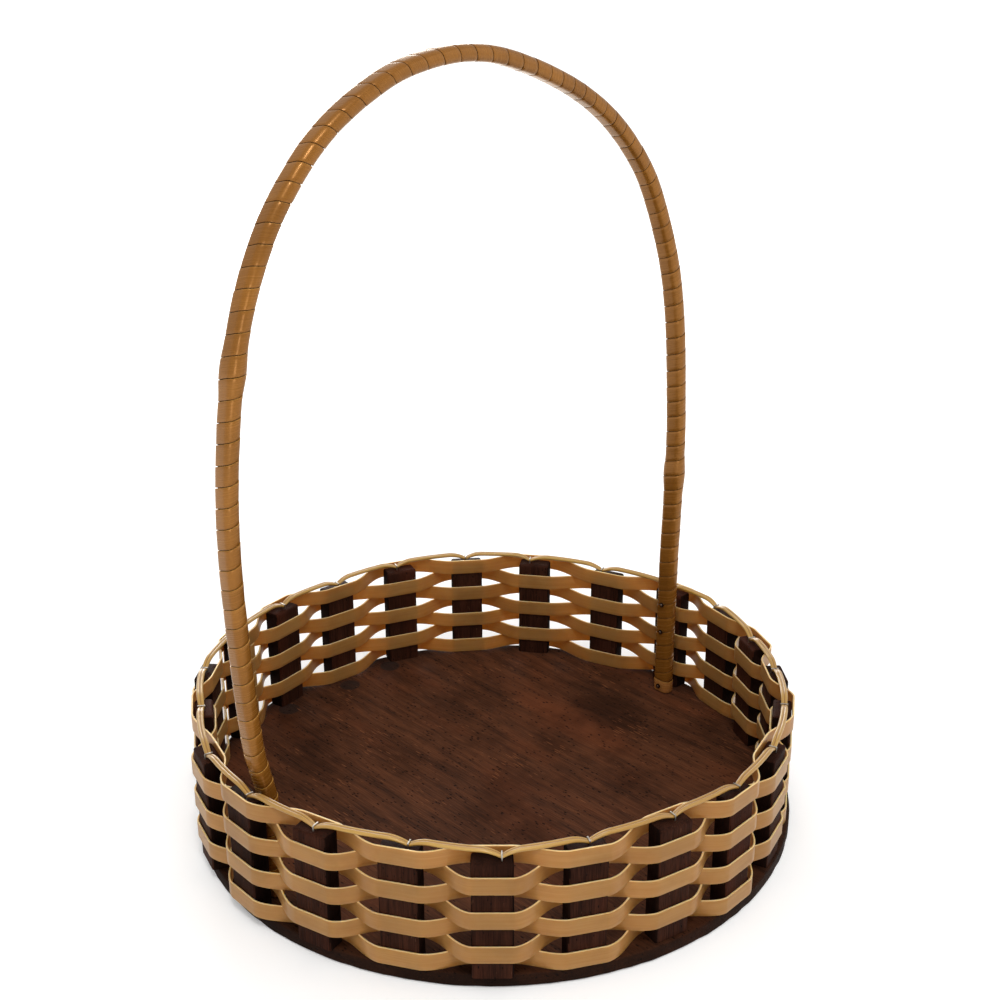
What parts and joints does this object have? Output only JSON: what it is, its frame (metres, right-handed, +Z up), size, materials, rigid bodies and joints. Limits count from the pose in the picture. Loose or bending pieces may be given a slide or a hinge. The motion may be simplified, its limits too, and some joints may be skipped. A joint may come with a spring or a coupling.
{
  "type": "handled woven basket",
  "caption": "Round shallow basket: wooden disc base, upright stakes with flat strips woven between them, stapled rim cane and a tall arched handle wound with strip.",
  "frame": {"origin": "centre of the disc's underside, on the surface that the basket stands on", "axes": "+Z up; the handle's arch stands along X, with its two legs at +X and -X; Y runs through the arch"},
  "size_m": [0.3055, 0.301, 0.3714],
  "materials": {
    "stained_wood": "dark stain, satin, worn",
    "core_wood": "bare",
    "woven_strip": "gold-stained flat strip, satin",
    "wound_strip": "gold-stained flat strip, glossy",
    "rim_cane": "pale cane, satin",
    "steel": "dull"
  },
  "bodies": {
    "root": {"base_board": "stained_wood", "stake_01": "stained_wood", "stake_02": "stained_wood", "stake_03": "stained_wood", "stake_04": "stained_wood", "stake_05": "stained_wood", "stake_06": "stained_wood", "stake_07": "stained_wood", "stake_08": "stained_wood", "stake_09": "stained_wood", "stake_10": "stained_wood", "stake_11": "stained_wood", "stake_12": "stained_wood", "stake_13": "stained_wood", "stake_14": "stained_wood", "stake_15": "stained_wood", "stake_16": "stained_wood", "stake_17": "stained_wood", "stake_18": "stained_wood", "stake_19": "stained_wood", "stake_20": "stained_wood", "stake_21": "stained_wood", "stake_22": "stained_wood", "stake_23": "stained_wood", "weaver_row_1": "woven_strip", "weaver_row_2": "woven_strip", "weaver_row_3": "woven_strip", "weaver_row_4": "woven_strip", "weaver_row_5": "woven_strip", "weaver_row_6": "woven_strip", "weaver_row_7": "woven_strip", "rim_cane": "rim_cane", "handle_core": "core_wood", "handle_wrap": "wound_strip", "strip_staple_1_start": "steel", "strip_staple_1_end": "steel", "strip_staple_2_start": "steel", "strip_staple_2_end": "steel", "strip_staple_3_start": "steel", "strip_staple_3_end": "steel", "strip_staple_4_start": "steel", "strip_staple_4_end": "steel", "strip_staple_5_start": "steel", "strip_staple_5_end": "steel", "strip_staple_6_start": "steel", "strip_staple_6_end": "steel", "strip_staple_7_start": "steel", "strip_staple_7_end": "steel", "handle_nail_1": "steel", "handle_nail_2": "steel", "handle_nail_3": "steel", "handle_nail_4": "steel", "handle_nail_5": "steel", "handle_nail_6": "steel"}
  },
  "joints": []
}
